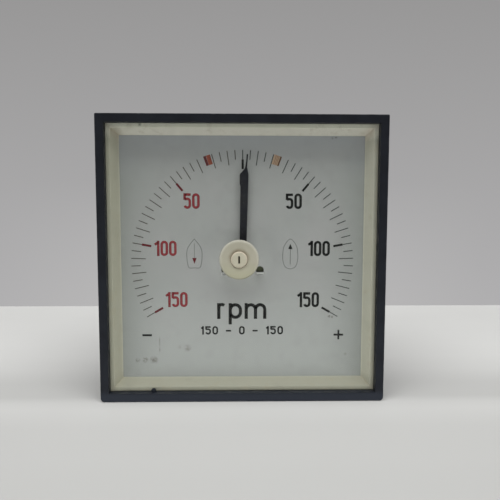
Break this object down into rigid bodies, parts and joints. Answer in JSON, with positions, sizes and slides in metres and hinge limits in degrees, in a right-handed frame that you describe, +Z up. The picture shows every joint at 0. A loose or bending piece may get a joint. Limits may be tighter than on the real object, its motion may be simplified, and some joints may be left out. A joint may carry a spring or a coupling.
{
  "type": "tachometer",
  "caption": "Square panel tachometer with a 240 degree centre-zero dial, a moving-coil movement and a slotted zero adjuster in its hub cap.",
  "frame": {"origin": "centre of the bezel's seat on the panel, in the plane of the panel's front", "axes": "+X to the right seen from the front, +Y back into the panel, +Z up"},
  "size_m": [0.144, 0.083, 0.144],
  "materials": {
    "bezel_black": "satin",
    "case_enamel": "satin",
    "screw_steel": "satin",
    "window_glass": "gloss",
    "black_rubber": "matte",
    "mask_cream": "matte",
    "cap_cream": "satin",
    "dial_enamel": "matte",
    "plate_aluminium": "satin",
    "turned_brass": "satin",
    "spring_bronze": "satin",
    "ruby": "gloss",
    "pointer_black": "matte",
    "coil_wire": "gloss",
    "soft_iron": "matte",
    "magnet_steel": "satin",
    "black_moulding": "satin",
    "resistor_card": "satin",
    "resistor_body": "gloss",
    "lead_green": "satin"
  },
  "bodies": {
    "housing": {"bezel": "bezel_black", "bezel_screws": "screw_steel", "glass": "window_glass", "glass_gasket": "black_rubber", "mask_frame": "mask_cream", "case_shell": "case_enamel", "hub_cap": "cap_cream", "cap_ring": "screw_steel", "dial_plate": "dial_enamel", "front_plate": "plate_aluminium", "front_plate_screws": "screw_steel", "front_bridge": "turned_brass", "bridge_screws": "screw_steel", "front_jewel_screw": "turned_brass", "front_jewel": "ruby", "front_lock_nut": "turned_brass", "rear_hairspring": "spring_bronze", "spring_anchor": "turned_brass", "rear_jewel_screw": "turned_brass", "rear_jewel": "ruby", "rear_lock_nut": "turned_brass", "ring_core": "soft_iron", "core_foot": "soft_iron", "magnet": "magnet_steel", "outer_pole": "soft_iron", "pole_spacers": "turned_brass", "pole_screws": "screw_steel", "chassis_plate": "plate_aluminium", "front_pillars": "screw_steel", "rear_pillars": "screw_steel", "case_screws": "screw_steel", "terminal_board": "black_moulding", "terminal_board_screws": "screw_steel", "terminal_board_nuts": "screw_steel", "terminal_studs": "turned_brass", "terminal_nuts": "turned_brass", "terminal_washers": "turned_brass", "inner_nuts": "turned_brass", "solder_tags": "screw_steel", "resistor_board": "resistor_card", "resistor_board_spacers": "turned_brass", "resistor_board_screws": "screw_steel", "resistors": "resistor_body", "internal_leads": "lead_green"},
    "pointer_assembly": {"pointer": "pointer_black", "pointer_hub": "turned_brass", "stop_pin": "turned_brass", "spindle": "screw_steel", "balance_cross": "turned_brass", "balance_weights": "turned_brass", "front_coil_arm": "plate_aluminium", "rear_coil_arm": "plate_aluminium", "coil_former": "plate_aluminium", "coil_winding": "coil_wire", "front_collet": "turned_brass", "rear_collet": "turned_brass"},
    "adjuster": {"zero_button": "cap_cream", "adjuster_crank": "turned_brass"},
    "regulator": {"regulator": "turned_brass", "front_hairspring": "spring_bronze"}
  },
  "joints": [
    {"name": "pointer_swing", "type": "hinge", "parent": "housing", "child": "pointer_assembly", "pos_m": [0, 0, -0.002], "axis": [0, 1, 0], "range_deg": [-123.7, 121.3], "stiffness_Nm_per_rad": 0.00002, "deforming": ["front_hairspring", "rear_hairspring"]},
    {"name": "adjuster_turn", "type": "hinge", "parent": "housing", "child": "adjuster", "pos_m": [-0.0018, 0, 0.0003], "axis": [0, 1, 0], "range_deg": [-30, 30]},
    {"name": "regulator_turn", "type": "hinge", "parent": "housing", "child": "regulator", "pos_m": [0, 0, -0.002], "axis": [0, 1, 0], "range_deg": [-19.2, 19.2]}
  ],
  "couplings": [
    {"joint": "regulator_turn", "follows": "adjuster_turn", "ratio": 0.63126}
  ]
}
